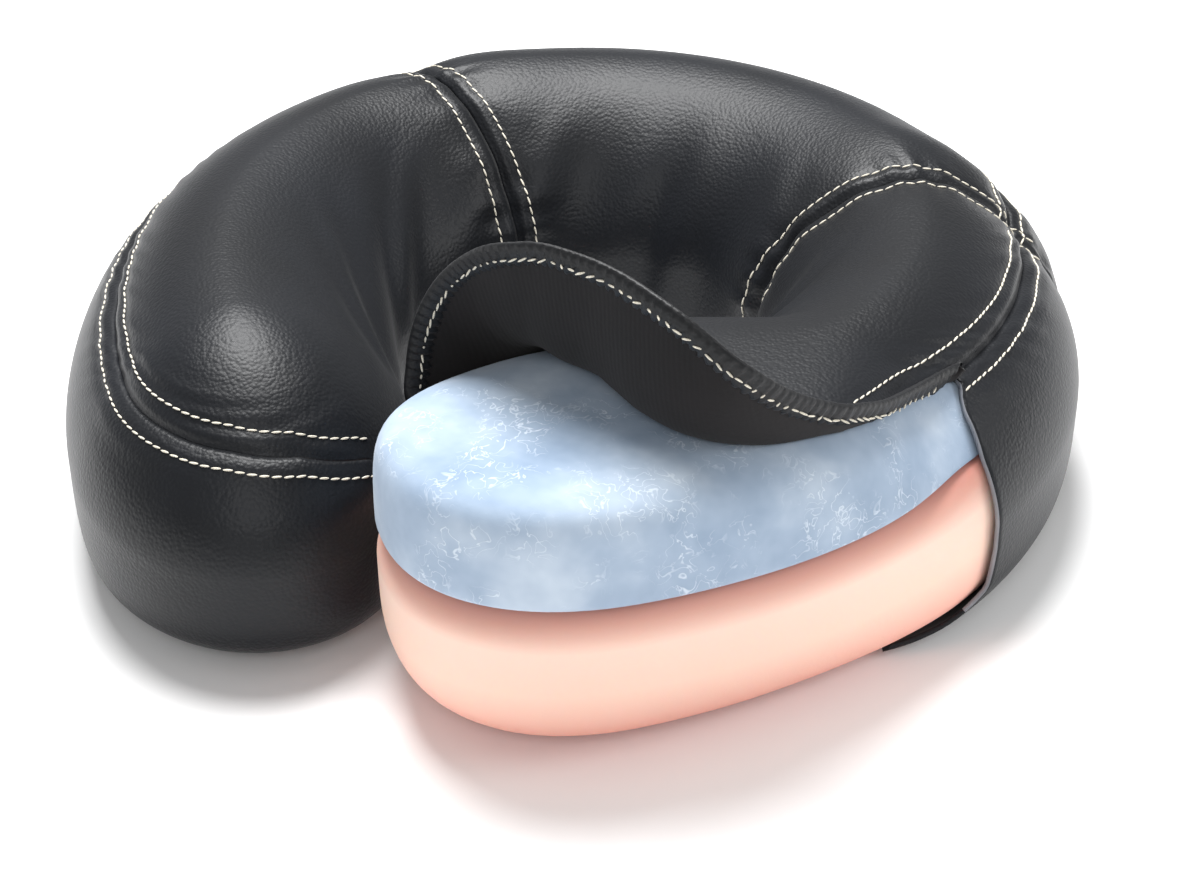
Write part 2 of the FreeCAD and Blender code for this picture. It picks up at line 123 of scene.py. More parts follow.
def section(girth, lift=0.0, fullness=ROUND):
    """Half width and height of the section at a girth share: 0 ridge, 1 waist, 2 bottom centre."""
    girth, fullness = np.broadcast_arrays(np.asarray(girth, float), np.asarray(fullness, float))
    angle = np.clip(girth, 0, 1) * math.pi / 2
    high = girth <= 1
    rise = TOP - WAIST
    down, low_u, low_z = LOWER
    u = np.where(high, HALF_WIDTH * np.sin(angle) ** (2 / fullness), np.interp(girth - 1, down, low_u))
    z = np.where(high, WAIST + rise * np.cos(angle) ** (2 / fullness), np.interp(girth - 1, down, low_z))
    power = np.where(high, fullness, BOXY) - 1
    lean = (np.clip(u / HALF_WIDTH, 0, 1)) ** power / HALF_WIDTH
    tall = np.where(high, rise, -WAIST)
    up = (np.clip(np.abs(z - WAIST) / np.abs(tall), 0, 1)) ** power / tall
    length = np.maximum(np.hypot(lean, up), 1e-9)
    lean, up = lean / length, up / length
    return u + lift * lean, z + lift * up


def arm_point(share, girth, lift=0.0, fullness=ROUND):
    """A point of the section at a share; girth is positive outside and negative on the hole's side."""
    centre, out, _ = centre_line(share)
    u, z = section(np.abs(girth), lift, fullness)
    plan = centre + out * (np.sign(girth) * u)[..., None]
    return np.concatenate([plan, z[..., None]], -1)


def tip_point(side, turn, girth, lift=0.0, fullness=ROUND):
    """A point round the tip; turn runs from 0 outside to pi on the hole's side."""
    centre, out, on = centre_line(np.full_like(np.asarray(turn, float), side))
    u, z = section(np.abs(girth), 0.0, fullness)
    moved, z = section(np.abs(girth), lift, fullness)
    way = out * np.cos(turn)[..., None] + on * (TIP_REACH * np.sin(turn))[..., None]
    plan = centre + way * u[..., None] + unit(way) * (moved - u)[..., None]
    return np.concatenate([plan, z[..., None]], -1)


def cross_share(girth):
    """Where the cross seam runs at a signed girth share."""
    u, _ = section(np.minimum(np.abs(girth), 1.0))
    inward = (1 - np.sign(girth) * u / HALF_WIDTH) / 2
    return CROSS_OUT + (CROSS_IN - CROSS_OUT) * inward


def girth_at(height, fullness=ROUND):
    """The girth share where the upper section reaches a height."""
    rise = np.clip((height - WAIST) / (TOP - WAIST), 0, 1)
    return np.arccos(rise ** (np.asarray(fullness, float) / 2)) / (math.pi / 2)


def fullness_at(share):
    """Foam that has lost its cover squares up towards the opened tip."""
    return ROUND + SQUARED_TIP * ease((np.asarray(share, float) - 0.70) / 0.24)


def outer_seam(share):
    """Girth share of the seam between top and side panels; it climbs where the cover is peeled."""
    return np.interp(share, (-1, 0.3, 0.42, 0.5, 0.57, 0.66, 1),
                     (OUTER_SEAM, OUTER_SEAM, 0.5, 0.463, 0.444, PEELED_SEAM, PEELED_SEAM))


def tip_seam(turn):
    """The same seam round the covered tip, where it sinks towards the hole's side."""
    return np.interp(turn, (0, 0.7, 1.25, 1.75, 2.2, 2.65), (OUTER_SEAM, 0.528, 0.545, 0.59, 0.69, 0.83))


def swell(share, girth, fade=1.0, seam=None):
    """Millimetres the leather stands off its plain form: pulled in at seams, full between them."""
    u, _ = section(np.minimum(np.abs(girth), 1.0))
    pitch = HALF_LINE * (1 + np.sign(girth) * u / CROWN_BEND)
    gap = (np.abs(share) - cross_share(girth)) * pitch
    seam = outer_seam(share) if seam is None else seam
    drop = np.where(girth > 0, (girth - seam) * GIRTH, 99.0)
    around, along = girth * GIRTH, share * pitch
    pull = SEAM_PULL * dip(gap, SEAM_CREASE) + 1.6 * dip(gap, 13)
    pull += PUCKER * dip(np.abs(gap) - ROW_STEP, GROOVE)
    rim = RIM_PULL * dip(drop, RIM_CREASE) + 1.0 * dip(drop, 12)
    rim += PUCKER * dip(np.abs(drop) - ROW_STEP, GROOVE)
    tucks = 0.34 * np.sin(around / 2.1 + 1.7 * np.sin(around / 9)) * dip(np.abs(gap) - 5, 7)
    tucks += 0.30 * np.sin(along / 2.3 + 1.9 * np.sin(along / 11)) * dip(np.abs(drop) - 5, 6)
    wall = ease((-girth - 0.25) / 0.5) * (1 - ease((-girth - 1.25) / 0.3))
    wall = wall * (1 - ease((np.abs(share) - 0.9) / 0.15))
    folds = 0.9 * wall * np.sin(along / 4.2 + 1.4 * np.sin(girth * 3.1) + 0.6 * np.sin(along / 7.7))
    dent = 2.6 * dip(np.hypot((share + 0.47) * 5.5, (girth + 0.42) * 1.6), 0.55)
    crown = 2.0 * dip(gap + 22, 16) * np.where(share > 0, 1.0, 0.35) * ease((girth + 0.3) / 0.5)
    return -pull - rim * fade + tucks + folds - dent + crown


# --- Making meshes ----------------------------------------------------------------------------

MM = 0.001


def finished(bm, name, facing=None):
    """The bmesh as an object; facing(centre) gives the way an open sheet's outside looks."""
    bmesh.ops.remove_doubles(bm, verts=bm.verts, dist=0.00002)
    bmesh.ops.recalc_face_normals(bm, faces=bm.faces)
    if facing is not None:
        bm.normal_update()
        agree = sum(f.normal.dot(facing(f.calc_center_median())) * f.calc_area() for f in bm.faces)
        if agree < 0:
            bmesh.ops.reverse_faces(bm, faces=bm.faces)
    for face in bm.faces:
        face.smooth = True
    mesh = bpy.data.meshes.new(name)
    bm.to_mesh(mesh)
    bm.free()
    piece = bpy.data.objects.new(name, mesh)
    bpy.context.scene.collection.objects.link(piece)
    return piece


def moulded(name, patches, facing=None):
    """Grids moved onto the cushion's shape and welded; a patch is (across, along, place)."""
    bm = bmesh.new()
    for across, along, place in patches:
        verts = bmesh.ops.create_grid(bm, x_segments=across, y_segments=along, size=0.5)["verts"]
        flat = np.array([v.co for v in verts]) + 0.5
        for vert, point in zip(verts, place(flat[:, 0], flat[:, 1]) * MM):
            vert.co = point
    return finished(bm, name, facing)


def applied(piece):
    """The piece with its modifiers made part of its mesh."""
    depsgraph = bpy.context.evaluated_depsgraph_get()
    mesh = bpy.data.meshes.new_from_object(piece.evaluated_get(depsgraph))
    piece.modifiers.clear()
    piece.data = mesh
    return piece


def thickened(piece, thickness, inner=0, rim=0):
    """The sheet given a thickness, inwards; inner and rim step to the materials of its back and edge."""
    wall = piece.modifiers.new("wall", "SOLIDIFY")
    wall.thickness = thickness * MM
    wall.offset = -1.0
    wall.material_offset = inner
    wall.material_offset_rim = rim
    return applied(piece)


def up(_):
    return Vector((0, 0, 1))


def outward(centre):
    return Vector((centre.x, centre.y, 0))


def down(_):
    return Vector((0, 0, -1))


# --- Finishes -----------------------------------------------------------------------------------


def linear(hex_colour):
    """An sRGB hex colour as linear RGBA."""
    parts = [int(hex_colour[i:i + 2], 16) / 255 for i in (1, 3, 5)]
    return [c / 12.92 if c <= 0.04045 else ((c + 0.055) / 1.055) ** 2.4 for c in parts] + [1.0]


def add_node(tree, kind, settings=(), links=()):
    """A node of a kind, with settings (properties or sockets by name) and links from other sockets."""
    node = tree.nodes.new("ShaderNode" + kind)
    for name, value in dict(settings).items():
        if isinstance(name, str) and hasattr(node, name):
            setattr(node, name, value)
        else:
            node.inputs[name].default_value = value
    for name, socket in dict(links).items():
        tree.links.new(socket, node.inputs[name])
    return node


def finish_named(name, **shader_values):
    """A material with one shader, its tree, the shader and the piece's own coordinates."""
    material = bpy.data.materials.new(name)
    material.use_nodes = True
    tree = material.node_tree
    shader = tree.nodes["Principled BSDF"]
    for socket, value in shader_values.items():
        shader.inputs[socket.replace("_", " ")].default_value = value
    place = add_node(tree, "TexCoord").outputs["Object"]
    return material, tree, shader, place


def ramp(tree, factor, *stops):
    """A colour ramp of (position, hex) stops."""
    node = add_node(tree, "ValToRGB", links={"Fac": factor})
    band = node.color_ramp
    while len(band.elements) < len(stops):
        band.elements.new(0.5)
    for element, (position, colour) in zip(band.elements, stops):
        element.position = position
        element.color = linear(colour)
    return node.outputs["Color"]


def grained_leather(name, low, high, roughness):
    """Polyurethane leather, embossed and calendered: a soft sheen broken by a fine pebble grain."""
    material, tree, shader, place = finish_named(name, Specular_IOR_Level=0.29, Sheen_Weight=0.04,
                                                 Sheen_Roughness=0.5)
    # pebbles about 1.1 mm across, with finer creases between them
    cells = add_node(tree, "TexVoronoi", {"feature": "SMOOTH_F1", "Scale": 900.0, "Smoothness": 0.35,
                                          "Randomness": 1.0}, {"Vector": place})
    creases = add_node(tree, "TexNoise", {"Scale": 1600.0, "Detail": 3.0, "Roughness": 0.6},
                       {"Vector": place})
    grain = add_node(tree, "Math", {"operation": "MULTIPLY_ADD", 1: 0.45}, {0: creases.outputs["Fac"]})
    tree.links.new(cells.outputs["Distance"], grain.inputs[2])
    bump = add_node(tree, "Bump", {"Strength": 0.42, "Distance": 0.00028, "invert": True},
                    {"Height": grain.outputs[0]})
    tree.links.new(bump.outputs["Normal"], shader.inputs["Normal"])
    drift = add_node(tree, "TexNoise", {"Scale": 14.0, "Detail": 4.0}, {"Vector": place})
    tree.links.new(ramp(tree, drift.outputs["Fac"], (0.3, low), (0.7, high)), shader.inputs["Base Color"])
    rub = add_node(tree, "MapRange", {"To Min": roughness - 0.06, "To Max": roughness + 0.08},
                   {"Value": drift.outputs["Fac"]})
    tree.links.new(rub.outputs["Result"], shader.inputs["Roughness"])
    return material


def knit_cloth(name, low, high, thread, sheen):
    """Knitted or brushed cloth: dull, with a fine rib that only raking light shows."""
    material, tree, shader, place = finish_named(name, Roughness=0.92, Specular_IOR_Level=0.2,
                                                 Sheen_Weight=sheen, Sheen_Roughness=0.6)
    ribs = add_node(tree, "TexWave", {"Scale": 1 / (thread * MM * 6.28), "Distortion": 1.2, "Detail": 1.0},
                    {"Vector": place})
    fluff = add_node(tree, "TexNoise", {"Scale": 700.0, "Detail": 3.0}, {"Vector": place})
    pile = add_node(tree, "Math", {"operation": "MULTIPLY_ADD", 1: 0.5}, {0: ribs.outputs["Fac"]})
    tree.links.new(fluff.outputs["Fac"], pile.inputs[2])
    bump = add_node(tree, "Bump", {"Strength": 0.3, "Distance": 0.0002}, {"Height": pile.outputs[0]})
    tree.links.new(bump.outputs["Normal"], shader.inputs["Normal"])
    drift = add_node(tree, "TexNoise", {"Scale": 30.0, "Detail": 4.0}, {"Vector": place})
    tree.links.new(ramp(tree, drift.outputs["Fac"], (0.3, low), (0.7, high)), shader.inputs["Base Color"])
    return material


def memory_foam_blue():
    """Viscoelastic polyurethane foam, cut and lightly brushed: matt, with pale curled scuffs."""
    material, tree, shader, place = finish_named("memory_foam_blue", Roughness=0.85, Specular_IOR_Level=0.25,
                                                 Sheen_Weight=0.12, Sheen_Roughness=0.5)
    cloud = add_node(tree, "TexNoise", {"Scale": 26.0, "Detail": 4.0, "Roughness": 0.6}, {"Vector": place})
    base = ramp(tree, cloud.outputs["Fac"], (0.32, "#8c9fb6"), (0.5, "#a3b4c8"), (0.7, "#c3d0de"))
    # scuffs: curls 3 to 8 mm long and about a third of a millimetre wide, in loose patches
    curl = add_node(tree, "TexNoise", {"Scale": 210.0, "Detail": 2.0, "Distortion": 0.9}, {"Vector": place})
    level = add_node(tree, "Math", {"operation": "SUBTRACT", 1: 0.5}, {0: curl.outputs["Fac"]})
    line = add_node(tree, "Math", {"operation": "ABSOLUTE"}, {0: level.outputs[0]})
    thin = add_node(tree, "MapRange", {"From Min": 0.022, "From Max": 0.004, "To Max": 0.6},
                    {"Value": line.outputs[0]})
    patch = add_node(tree, "TexNoise", {"Scale": 60.0, "Detail": 3.0}, {"Vector": place})
    broken = add_node(tree, "MapRange", {"From Min": 0.47, "From Max": 0.60}, {"Value": patch.outputs["Fac"]})
    scuff = add_node(tree, "Math", {"operation": "MULTIPLY"},
                     {0: thin.outputs["Result"], 1: broken.outputs["Result"]})
    pale = add_node(tree, "Mix", {"data_type": "RGBA", "B": linear("#e4edf6")},
                    {"Factor": scuff.outputs[0]})
    tree.links.new(base, pale.inputs["A"])
    tree.links.new(pale.outputs["Result"], shader.inputs["Base Color"])
    pores = add_node(tree, "TexNoise", {"Scale": 900.0, "Detail": 2.0}, {"Vector": place})
    skin = add_node(tree, "Math", {"operation": "MULTIPLY_ADD", 1: 0.3}, {0: pores.outputs["Fac"]})
    tree.links.new(scuff.outputs[0], skin.inputs[2])
    bump = add_node(tree, "Bump", {"Strength": 0.35, "Distance": 0.0004}, {"Height": skin.outputs[0]})
    tree.links.new(bump.outputs["Normal"], shader.inputs["Normal"])
    return material


def base_foam_peach_painted_shade():
    """Flexible polyurethane foam, moulded: soft and even, warmer towards its lower edge, and darkened by
    painted shade just under the memory foam.
    """
    material, tree, shader, place = finish_named("base_foam_peach_painted_shade", Roughness=0.8, Specular_IOR_Level=0.25,
                                                 Subsurface_Weight=0.15, Subsurface_Scale=0.004)
    height = add_node(tree, "SeparateXYZ", links={"Vector": place}).outputs["Z"]
    level = add_node(tree, "MapRange", {"From Max": 0.052}, {"Value": height})
    # the stops at 0.9 and 1.0 darken the top few millimetres below the memory foam: painted shade, not the
    # foam's own colour
    tone = ramp(tree, level.outputs["Result"], (0.0, "#eb9d8f"), (0.2, "#f2b3a3"), (0.5, "#f8d3c1"),
                (0.76, "#f7d5c5"), (0.9, "#dba596"), (1.0, "#b9796d"))
    tree.links.new(tone, shader.inputs["Base Color"])
    pores = add_node(tree, "TexNoise", {"Scale": 800.0, "Detail": 3.0}, {"Vector": place})
    bump = add_node(tree, "Bump", {"Strength": 0.15, "Distance": 0.0003}, {"Height": pores.outputs["Fac"]})
    tree.links.new(bump.outputs["Normal"], shader.inputs["Normal"])
    return material


def plain_thread():
    """Polyester sewing thread, twisted: cream, with a soft shine along each stitch."""
    material, tree, shader, place = finish_named("polyester_thread_cream", Roughness=0.55,
                                                 Specular_IOR_Level=0.4, Sheen_Weight=0.2)
    twist = add_node(tree, "TexNoise", {"Scale": 2500.0, "Detail": 1.0}, {"Vector": place})
    tone = ramp(tree, twist.outputs["Fac"], (0.3, "#cfc7b3"), (0.65, "#f0eadb"))
    tree.links.new(tone, shader.inputs["Base Color"])
    bump = add_node(tree, "Bump", {"Strength": 0.4, "Distance": 0.0001}, {"Height": twist.outputs["Fac"]})
    tree.links.new(bump.outputs["Normal"], shader.inputs["Normal"])
    return material


LEATHER = grained_leather("polyurethane_leather_black", "#0b0d11", "#12151b", 0.42)
HEM_LEATHER = grained_leather("polyurethane_leather_folded", "#101113", "#1c1d20", 0.46)
BACKING = knit_cloth("leather_backing_knit", "#100e0f", "#181415", 0.75, 0.08)
RAW_EDGE = knit_cloth("leather_raw_edge", "#6e7076", "#9a9ca2", 0.4, 0.0)
UNDER_CLOTH = knit_cloth("brushed_nylon_black", "#141415", "#1d1d1f", 0.8, 0.3)
LOOP_TAPE = knit_cloth("hook_and_loop_tape_black", "#121213", "#202022", 1.2, 0.5)
TAPE = knit_cloth("woven_seam_tape", "#2b2b2d", "#3a3a3d", 0.5, 0.1)
BLUE = memory_foam_blue()
PEACH = base_foam_peach_painted_shade()
THREAD = plain_thread()


def dressed(piece, slot, *materials):
    """The piece with its materials; the slot is not used."""
    piece.data.materials.clear()
    for material in materials:
        piece.data.materials.append(material)
    return piece


# --- Foams ----------------------------------------------------------------------------------------

PLAY = 3.1                 # foam below the leather's outside
SPLIT = 51.4               # where the two foams meet
SEAT = SPLIT + 0.3         # the memory foam's flat underside
TIP_CORNER = 2 / 2.25      # plan power of the squarer bare tip
MEMORY_ROLL = 2.5          # rounding of the memory foam's lower edge


def settled(share, girth):
    """How deep the foam's skin lies: under the cover it follows every seam, bare it is smooth."""
    covered = 1 - ease((share - 0.64) / 0.05)
    full_bare = 1.3 * ease((share - 0.72) / 0.2) * ease(girth / 0.3 + 1)    # the hole's side stays covered
    return -PLAY + np.minimum(swell(share, girth), 1.0) * covered + full_bare


def slab_ring(name, steps, skin):
    """A closed slab round the whole horseshoe; skin(share, side, k) gives its half width and height."""
    def arm(way):
        def place(x, y):
            share = 2 * x - 1
            centre, out, _ = centre_line(share)
            u, z = skin(share, way, y)
            return np.concatenate([centre + out * (way * u)[..., None], z[..., None]], -1)
        return place

    def tip(side):
        def place(x, y):
            turn = math.pi * x
            share = np.full_like(x, side)
            centre, out, on = centre_line(share)
            corner = TIP_CORNER if side > 0 else 1
            aside = np.sign(np.cos(turn)) * np.abs(np.cos(turn)) ** corner
            ahead = TIP_REACH * np.abs(np.sin(turn)) ** corner
            way = out * aside[..., None] + on * ahead[..., None]
            u, z = skin(share, 1, y)
            inner_u, inner_z = skin(share, -1, y)
            inside = ease((x - 0.5) / 0.4)
            u = u + (inner_u - u) * inside
            z = z + (inner_z - z) * inside
            return np.concatenate([centre + way * u[..., None], z[..., None]], -1)
        return place

    return moulded(name, [(220, steps, arm(1)), (220, steps, arm(-1)),
                          (48, steps, tip(1)), (48, steps, tip(-1))])


def bare_fullness(share, way):
    """The bare tip is squarer still, but not on the hole's side, which the cover still hides."""
    return fullness_at(share) + (way > 0) * 3.5 * ease((share - 0.93) / 0.07)


def memory_foam_skin(share, way, k):
    """From the middle of its underside (k 0) out, round the edge and up to the ridge (k 1)."""
    full = bare_fullness(share, way)
    low = girth_at(SEAT + MEMORY_ROLL, full)
    side, top = 0.2, 0.32          # shares of k on the underside and up to the rounding's end
    climb = np.clip((k - top) / (1 - top), 0, 1)
    girth = low * (1 - climb)
    u, z = section(girth, settled(share, way * girth), full)
    edge, _ = section(low, settled(share, way * low), full)
    turn = np.clip((k - side) / (top - side), 0, 1) * math.pi / 2
    u = np.where(k < top, edge - MEMORY_ROLL * (1 - np.sin(turn)), u)
    z = np.where(k < top, SEAT + (z - SEAT) * (1 - np.cos(turn)), z)
    u = np.where(k < side, (edge - MEMORY_ROLL) * k / side, u)
    return u, z


def base_foam_skin(share, way, k):
    """From the middle of its underside (k 0) up the side, over the edge and in along its top (k 1)."""
    full = bare_fullness(share, way)
    roll = 3.0 + 7.0 * ease((share - 0.66) / 0.1)
    high = girth_at(SPLIT - roll, full)
    girth = np.where(k < 0.5, 2 - k * 2, 1 - (1 - high) * np.clip((k - 0.5) / 0.12, 0, 1))
    u, z = section(girth, settled(share, way * girth), full)
    edge, level = section(high, settled(share, way * high), full)
    turn = np.clip((k - 0.62) / 0.18, 0, 1) * math.pi / 2
    u = np.where(k > 0.62, edge - roll * (1 - np.cos(turn)), u)
    z = np.where(k > 0.62, level + (SPLIT - level) * np.sin(turn), z)
    u = np.where(k > 0.8, (edge - roll) * (1 - k) / 0.2, u)
    u = u * (1 - 0.11 * ease((share - 0.7) / 0.2) * dip(z, 15))     # the bare foot is rolled in
    return u, z


memory_foam = dressed(slab_ring("memory_foam_slab", 64, memory_foam_skin), "memory_foam", BLUE)
base_foam = dressed(slab_ring("base_foam_slab", 64, base_foam_skin), "base_foam", PEACH)
for foam, node in ((memory_foam, "memory_foam"), (base_foam, "base_foam")):
    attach(foam, "cushion")
    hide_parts(node)


# --- Cover panels ---------------------------------------------------------------------------------

SKIN = 1.4                 # leather with its knit backing
OUTSIDE, BACK, RIM = 0, 1, 2            # a panel's material slots
WRAP_START, WRAP_END = 2.25, 2.65      # turn round a tip where the side panel runs out


def onto_arm(share, girth, sink=0.0, full=ROUND):
    return arm_point(share, girth, swell(share, girth) - sink, full)


def onto_tip(side, turn, girth, sink=0.0):
    """Round a tip the hole's side takes over from the outside."""
    share = np.full_like(turn, side)
    fade = 1 - ease((turn - WRAP_START + 0.3) / 0.4)
    inside = ease(turn / math.pi)
    seam = tip_seam(turn)
    lift = swell(share, girth, fade, seam) * (1 - inside) + swell(share, -girth) * inside
    return tip_point(side, turn, girth, lift - sink)


def onto_left_arm(x, girth):
    """From the left cross seam (0) to the start of the tip (1)."""
    start = cross_share(girth)
    return onto_arm(-(start + (1 - start) * x), girth)


def panel_seam(turn):
    """The outer seam round the tip, run out to the cover's edge where the side panel ends."""
    seam = tip_seam(turn)
    return seam + (HEM_OF_COVER - seam) * ease((turn - WRAP_START) / (WRAP_END - WRAP_START))


def top_left_outside(x, y):
    return onto_left_arm(x, OUTER_SEAM * y)


def top_left_inside(x, y):
    return onto_left_arm(x, -HEM_OF_COVER * y)


def top_left_tip(x, y):
    turn = math.pi * x
    return onto_tip(-1, turn, panel_seam(turn) * y)


def top_crown(x, y):
    girth = OUTER_SEAM - (OUTER_SEAM + HEM_OF_COVER) * y
    return onto_arm((2 * x - 1) * cross_share(girth), girth)


def side_crown(x, y):
    girth = OUTER_SEAM + (HEM_OF_COVER - OUTER_SEAM) * y
    return onto_arm((2 * x - 1) * cross_share(girth), girth)


def side_left_arm(x, y):
    return onto_left_arm(x, OUTER_SEAM + (HEM_OF_COVER - OUTER_SEAM) * y)


def side_left_tip(x, y):
    turn = WRAP_END * x
    high = panel_seam(turn)
    return onto_tip(-1, turn, high + (HEM_OF_COVER - high) * y)


def cut_edge(girth):
    """Share at which the right side panel was cut through."""
    return np.interp(girth, (0.42, 0.54, 0.7, 1.1, 1.28, 1.42, HEM_OF_COVER),
                     (0.664, 0.684, 0.691, 0.688, 0.692, 0.74, 0.775))


def side_right(x, y):
    start = cross_share(np.full_like(y, 0.5))
    share = start + (0.68 - start) * x
    girth = outer_seam(share) + (HEM_OF_COVER - outer_seam(share)) * y
    start = cross_share(girth)
    share = start + (cut_edge(girth) - start) * x
    return onto_arm(share, girth)


def at_the_cut(node, face):
    """Whether a rim face lies along the cut through the right side panel."""
    return node == "side_panel_right" and face.center.y < -0.018 and face.center.z > 0.009


panels = {
    "top_panel_left": moulded("leather_top_left", [(100, 88, top_left_outside), (100, 88, top_left_inside),
                                                   (90, 88, top_left_tip)], up),
    "top_panel_crown": moulded("leather_top_crown", [(190, 110, top_crown)], up),
    "side_panel_crown": moulded("leather_side_crown", [(220, 60, side_crown)], outward),
    "side_panel_left": moulded("leather_side_left", [(110, 60, side_left_arm), (80, 60, side_left_tip)],
                               outward),
    "side_panel_right": moulded("leather_side_right", [(56, 60, side_right)], outward),
}
for node, panel in panels.items():
    dressed(panel, "cover_leather", LEATHER, BACKING, RAW_EDGE)
    thickened(panel, SKIN, inner=BACK, rim=RIM)
    for face in panel.data.polygons:
        if face.material_index == RIM and not at_the_cut(node, face):
            face.material_index = OUTSIDE


# --- The opened end of the right top panel ----------------------------------------------------------

# Girth share across the panel, then the share along the arm where it leaves the foam.
PEEL_GIRTH = (-1.5, -0.38, -0.18, -0.05, 0.003, 0.077, 0.16, 0.238, 0.287, 0.346, 0.383, 0.40, 0.425)
PEEL_SHARE = (1.02, 1.015, 0.998, 0.98, 0.955, 0.936, 0.914, 0.884, 0.852, 0.807, 0.749, 0.695, 0.664)
# The flap's free edge, from its outer corner over the top and down beside the gap.
EDGE_GIRTH = (0.425, 0.405, 0.40, 0.383, 0.346, 0.287, 0.238, 0.16, 0.077, 0.003, -0.10, -0.28, -0.50,
              -0.75, -1.0, -1.1, -1.22, -1.36, -1.5)
EDGE_POINTS = np.array((
    (127.5, -22, 71.5), (124.3, -28.6, 73.5), (123, -38, 75.5), (120.6, -55.7, 79.5), (117.2, -73.7, 86),
    (111.9, -86, 92), (107, -96, 99), (98.5, -109, 112.5), (84.4, -111, 122.5), (66, -105.3, 126),
    (47.5, -100.5, 126), (29.7, -97.6, 122), (14.2, -93, 112), (1.6, -90.6, 96), (-5.6, -89, 74),
    (-6.2, -89.4, 63), (-1, -84, 50), (9, -75, 36), (21, -64, 24)))
LYING = 0.6                # share of the grid that lies on the foam
KNEE = 0.34                # how far the sheet runs on before it bends up, in reaches


def smooth_between(at, knots, values):
    """A smooth curve through knots, for a row of values or of points."""
    order = np.argsort(knots)
    knots, values = np.asarray(knots, float)[order], np.asarray(values, float)[order]
    slope = np.gradient(values, knots, axis=0)
    i = np.clip(np.searchsorted(knots, at) - 1, 0, len(knots) - 2)
    width = knots[i + 1] - knots[i]
    t = np.clip((at - knots[i]) / width, 0, 1)
    if values.ndim > 1:
        t, width = t[..., None], width[..., None]
    h00, h10 = 2 * t ** 3 - 3 * t ** 2 + 1, t ** 3 - 2 * t ** 2 + t
    return (h00 * values[i] + h10 * width * slope[i] + (1 - h00) * values[i + 1]
            + (t ** 3 - t ** 2) * width * slope[i + 1])


def rows_of_flap(y):
    """Girth shares across the flap's panel, closer together where its edge turns fastest."""
    return np.interp(y, (0, 0.28, 0.42, 0.62, 0.82, 1), (PEELED_SEAM, 0.30, 0.10, -0.35, -1.0, -HEM_OF_COVER))


def flap_foot(girth):
    """Where the panel leaves the foam: the share along the arm, and the point."""
    share = smooth_between(np.clip(girth, -HEM_OF_COVER, PEELED_SEAM), PEEL_GIRTH, PEEL_SHARE)
    return share, onto_arm(share, girth, 0.0, fullness_at(share))


def free_edge(girth):
    """The flap's edge, which runs back into the foot where the flap is still sewn."""
    _, foot = flap_foot(girth)
    edge = smooth_between(np.clip(girth, -HEM_OF_COVER, PEELED_SEAM), EDGE_GIRTH, EDGE_POINTS)
    loose = 1 - ease((-girth - 1.40) / 0.1)
    return foot + (edge - foot) * loose[..., None]


def flap_sheet(free, girth):
    """From the foam (0) to the free edge (1): first along the arm, then bending up."""
    share, foot = flap_foot(girth)
    back = onto_arm(share - 0.01, girth, 0.0, fullness_at(share))
    edge = free_edge(girth)
    reach = np.linalg.norm(edge - foot, axis=-1, keepdims=True)
    knee = foot + unit(foot - back) * reach * KNEE
    t = free[..., None]
    return (1 - t) ** 2 * foot + 2 * t * (1 - t) * knee + t ** 2 * edge


def top_right(x, y):
    """The right top panel: the part on the foam, then the part that stands off it."""
    girth = rows_of_flap(y)
    lying = np.clip(x / LYING, 0, 1)
    start = cross_share(girth)
    end, _ = flap_foot(girth)
    share = start + (end - start) * lying
    drawn = np.where(girth > 0, girth * outer_seam(share) / PEELED_SEAM, girth)
    on_foam = onto_arm(share, drawn, 0.0, fullness_at(share))
    off_foam = flap_sheet(np.clip((x - LYING) / (1 - LYING), 0, 1), girth)
    return np.where((x > LYING)[..., None], off_foam, on_foam)


flap_panel = moulded("leather_top_right", [(170, 130, top_right)], up)
dressed(flap_panel, "cover_leather", LEATHER, BACKING, LEATHER)
thickened(flap_panel, SKIN, inner=BACK, rim=RIM)
panels["top_panel_right"] = flap_panel


# --- The hem: leather turned over the flap's edge and gathered --------------------------------------

HEM_WIDTH, HEM_THICKNESS = 7.0, 3.0
HEM_SIDE = 1.0             # the hem stands to the sheet's outer side
HEM_GIRTHS = np.linspace(0.42, -1.3, 400)


def hem_line():
    """Evenly spaced points of the free edge, with the ways along it, into the flap and out of it."""
    edge = free_edge(HEM_GIRTHS)
    inner = flap_sheet(np.full_like(HEM_GIRTHS, 0.9), HEM_GIRTHS)
    run = np.r_[0, np.cumsum(np.linalg.norm(np.diff(edge, axis=0), axis=1))]
    even = np.linspace(0, run[-1], 420)
    edge = np.stack([np.interp(even, run, edge[:, k]) for k in range(3)], -1)
    inner = np.stack([np.interp(even, run, inner[:, k]) for k in range(3)], -1)
    along = unit(np.gradient(edge, axis=0))
    into = inner - edge
    into = unit(into - (into * along).sum(-1, keepdims=True) * along)
    return even, edge, along, into, np.cross(along, into)


HEM_RUN, HEM_EDGE, HEM_ALONG, HEM_INTO, HEM_OUT = hem_line()


def hem_band(x, y):
    """A flat tube round the edge, pleated where the leather was gathered."""
    run = x * HEM_RUN[-1]
    edge, into, out = [np.stack([np.interp(run, HEM_RUN, way[:, k]) for k in range(3)], -1)
                       for way in (HEM_EDGE, HEM_INTO, HEM_OUT)]
    turn = 2 * math.pi * y
    pleat = np.sin(run * 2.1 + 1.6 * np.sin(run / 6.3)) + 0.5 * np.sin(run * 3.7 + 2 * np.sin(run / 4.1))
    taper = ease(run / 12) * ease((HEM_RUN[-1] - run) / 10)
    width = HEM_WIDTH * (0.25 + 0.75 * taper) * (1 + 0.07 * pleat)
    thick = HEM_THICKNESS * (0.6 + 0.4 * taper) * (1 + 0.17 * pleat)
    deep = -1.0 + width * (1 - np.cos(turn)) / 2
    high = thick / 2 * np.sin(turn)
    return edge + into * deep[..., None] + out * (high + HEM_SIDE * 0.7)[..., None]


